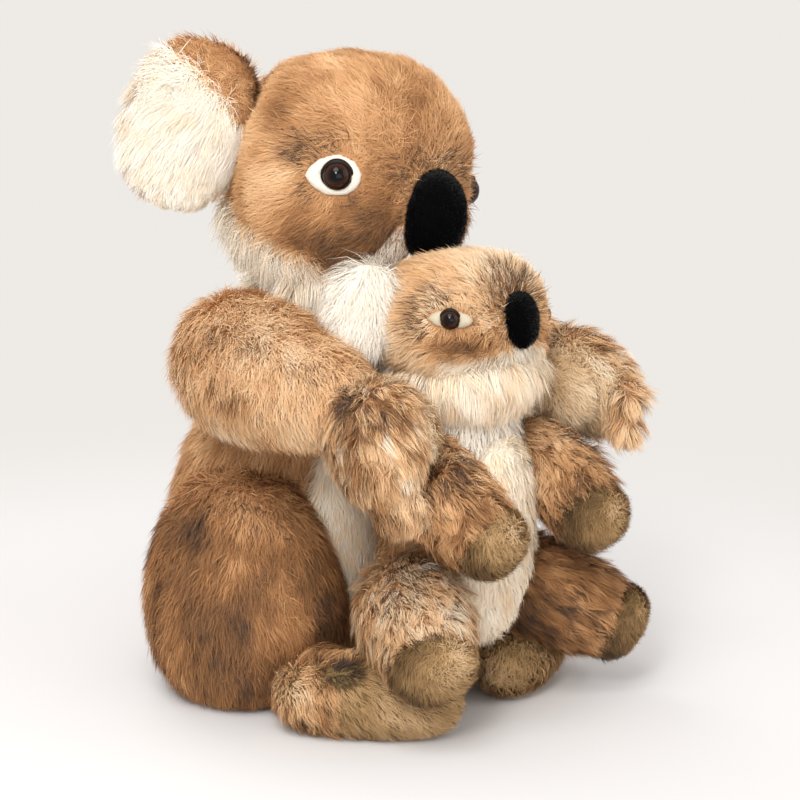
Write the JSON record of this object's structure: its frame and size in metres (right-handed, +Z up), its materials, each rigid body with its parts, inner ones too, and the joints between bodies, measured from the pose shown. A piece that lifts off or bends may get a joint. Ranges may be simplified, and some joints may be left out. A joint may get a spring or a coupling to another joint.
{
  "type": "plush koala with young",
  "caption": "Sitting plush koala that holds its plush young in its lap, with turning heads, arms that open and a young one that lifts out.",
  "frame": {"origin": "middle of the flat that the large koala's torso sits on", "axes": "+Z up, the large koala faces -Y and its right side is at -X"},
  "size_m": [0.2592, 0.3094, 0.409],
  "materials": {
    "caramel_plush": "matte",
    "white_plush": "matte",
    "olive_plush": "matte",
    "white_felt": "matte",
    "black_velvet": "matte",
    "glossy_eye": "gloss",
    "washer_plastic": "matte"
  },
  "bodies": {
    "mother": {"mother_torso": "caramel_plush", "mother_belly": "white_plush", "mother_haunch_r": "caramel_plush", "mother_haunch_l": "caramel_plush", "mother_ankle_r": "caramel_plush", "mother_ankle_l": "caramel_plush", "mother_foot_r": "olive_plush", "mother_foot_l": "olive_plush"},
    "mother_head": {"mother_head": "caramel_plush", "mother_ruff": "white_plush", "mother_ear_r": "white_plush", "mother_ear_l": "white_plush", "mother_patch_r": "white_felt", "mother_patch_l": "white_felt", "mother_eye_r": "glossy_eye", "mother_eye_l": "glossy_eye", "mother_washer_r": "washer_plastic", "mother_washer_l": "washer_plastic", "mother_nose": "black_velvet", "mother_muzzle": "white_plush"},
    "mother_arm_r": {"mother_arm_r": "caramel_plush", "mother_hand_r": "caramel_plush", "mother_palm_r": "olive_plush"},
    "mother_arm_l": {"mother_arm_l": "caramel_plush", "mother_hand_l": "caramel_plush", "mother_palm_l": "olive_plush"},
    "young": {"young_torso": "caramel_plush", "young_belly": "white_plush"},
    "young_head": {"young_head": "caramel_plush", "young_ruff": "white_plush", "young_ear_r": "white_plush", "young_ear_l": "white_plush", "young_patch_r": "white_felt", "young_patch_l": "white_felt", "young_eye_r": "glossy_eye", "young_eye_l": "glossy_eye", "young_washer_r": "washer_plastic", "young_washer_l": "washer_plastic", "young_nose": "black_velvet"},
    "young_arm_r": {"young_arm_r": "caramel_plush", "young_paw_r": "olive_plush"},
    "young_arm_l": {"young_arm_l": "caramel_plush", "young_paw_l": "olive_plush"},
    "young_leg_r": {"young_leg_r": "caramel_plush", "young_sole_r": "olive_plush"},
    "young_leg_l": {"young_leg_l": "caramel_plush", "young_sole_l": "olive_plush"}
  },
  "joints": [
    {"name": "mother_neck_turn", "type": "hinge", "parent": "mother", "child": "mother_head", "pos_m": [0, -0.052, 0.256], "axis": [0, 0, 1], "range_deg": [-20, 20]},
    {"name": "mother_arm_r_open", "type": "hinge", "parent": "mother", "child": "mother_arm_r", "pos_m": [-0.048, 0, 0.216], "axis": [0, 0, -1], "range_deg": [0, 25]},
    {"name": "mother_arm_l_open", "type": "hinge", "parent": "mother", "child": "mother_arm_l", "pos_m": [0.048, 0, 0.216], "axis": [0, 0, 1], "range_deg": [0, 25]},
    {"name": "young_lift", "type": "slide", "parent": "mother", "child": "young", "axis": [0, -0.9781, 0.2079], "range_m": [0, 0.2]},
    {"name": "young_neck_turn", "type": "hinge", "parent": "young", "child": "young_head", "pos_m": [0, -0.15, 0.245], "axis": [0, 0, 1], "range_deg": [-20, 20]},
    {"name": "young_arm_r_raise", "type": "hinge", "parent": "young", "child": "young_arm_r", "pos_m": [-0.044, -0.15, 0.1666], "axis": [-1, 0, 0], "range_deg": [0, 30]},
    {"name": "young_arm_l_raise", "type": "hinge", "parent": "young", "child": "young_arm_l", "pos_m": [0.044, -0.15, 0.1666], "axis": [-1, 0, 0], "range_deg": [0, 30]},
    {"name": "young_leg_r_raise", "type": "hinge", "parent": "young", "child": "young_leg_r", "pos_m": [-0.04, -0.138, 0.0776], "axis": [-1, 0, 0], "range_deg": [0, 15]},
    {"name": "young_leg_l_raise", "type": "hinge", "parent": "young", "child": "young_leg_l", "pos_m": [0.04, -0.138, 0.0696], "axis": [-1, 0, 0], "range_deg": [0, 15]}
  ]
}
